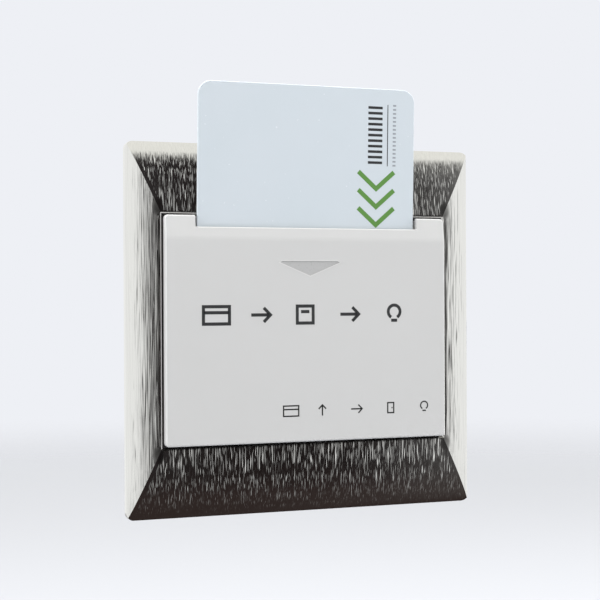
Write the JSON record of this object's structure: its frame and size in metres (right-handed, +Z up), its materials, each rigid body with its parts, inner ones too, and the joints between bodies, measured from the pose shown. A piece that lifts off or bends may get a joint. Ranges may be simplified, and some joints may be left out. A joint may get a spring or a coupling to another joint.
{
  "type": "hotel key card switch",
  "caption": "Square wall switch worked by a key card: crowned brushed metal plate, raised light grey cover with a card slot and an arrow, card in the slot, electronics box behind.",
  "frame": {"origin": "midway between the two wall box screws, in the plane of the wall", "axes": "+X to the right as seen from the room, +Z up, -Y out of the wall towards the room"},
  "size_m": [0.086, 0.0372, 0.0999],
  "materials": {
    "brushed_nickel": "vertically brushed nickel",
    "carrier_plastic": "grey moulded plastic",
    "cover_plastic": "fine satin light grey plastic",
    "arrow_plastic": "translucent grey plastic",
    "card_plastic": "pale blue card with a satin laminate",
    "yoke_plastic": "white moulded plastic",
    "base_plastic": "grey moulded plastic",
    "housing_plastic": "white moulded plastic",
    "screw_steel": "zinc plated steel",
    "clamp_brass": "plain brass",
    "terminal_plastic": "green moulded plastic",
    "board_laminate": "green glass fibre laminate",
    "switch_plastic": "black moulded plastic",
    "pin_brass": "tinned brass",
    "lever_steel": "spring steel",
    "plunger_plastic": "red moulded plastic",
    "led_resin": "clear resin",
    "guide_acrylic": "clear acrylic",
    "relay_plastic": "blue moulded plastic",
    "film_plastic": "yellow moulded plastic",
    "can_sleeve": "dark sleeve over a metal can",
    "varistor_resin": "dipped blue resin",
    "fuse_glass": "ceramic tube with plated caps",
    "chip_resin": "black moulded resin"
  },
  "bodies": {
    "root": {"bezel_frame": "brushed_nickel", "bezel_carrier": "carrier_plastic", "front_cover": "cover_plastic", "arrow_window": "arrow_plastic", "mounting_yoke": "yoke_plastic", "pocket_base": "base_plastic", "rear_housing": "housing_plastic", "base_screws": "screw_steel", "housing_screws": "screw_steel", "board_screws": "screw_steel", "terminal_screws": "screw_steel", "terminal_clamps": "clamp_brass", "terminal_block": "terminal_plastic", "circuit_board": "board_laminate", "microswitch_body": "switch_plastic", "microswitch_pins": "pin_brass", "lever_pin": "lever_steel", "locator_led": "led_resin", "light_guide": "guide_acrylic", "relay": "relay_plastic", "film_capacitor": "film_plastic", "electrolytic_capacitors": "can_sleeve", "varistor": "varistor_resin", "fuse": "fuse_glass", "controller_chip": "chip_resin"},
    "card": {"key_card": "card_plastic"},
    "lever": {"microswitch_lever": "lever_steel"},
    "plunger": {"microswitch_plunger": "plunger_plastic"}
  },
  "joints": [
    {"name": "card_slide", "type": "slide", "parent": "root", "child": "card", "axis": [0, -0.0396, 0.9992], "range_m": [0, 0.0545]},
    {"name": "lever_pivot", "type": "hinge", "parent": "root", "child": "lever", "pos_m": [0, 0.0008, -0.001], "axis": [-1, 0, 0], "range_deg": [0, 4.86]},
    {"name": "plunger_slide", "type": "slide", "parent": "root", "child": "plunger", "axis": [0, -1, 0], "range_m": [0, 0.000457]}
  ],
  "couplings": [
    {"joint": "lever_pivot", "follows": "card_slide", "rad_per_m": 1.55},
    {"joint": "plunger_slide", "follows": "card_slide", "ratio": 0.0082}
  ]
}
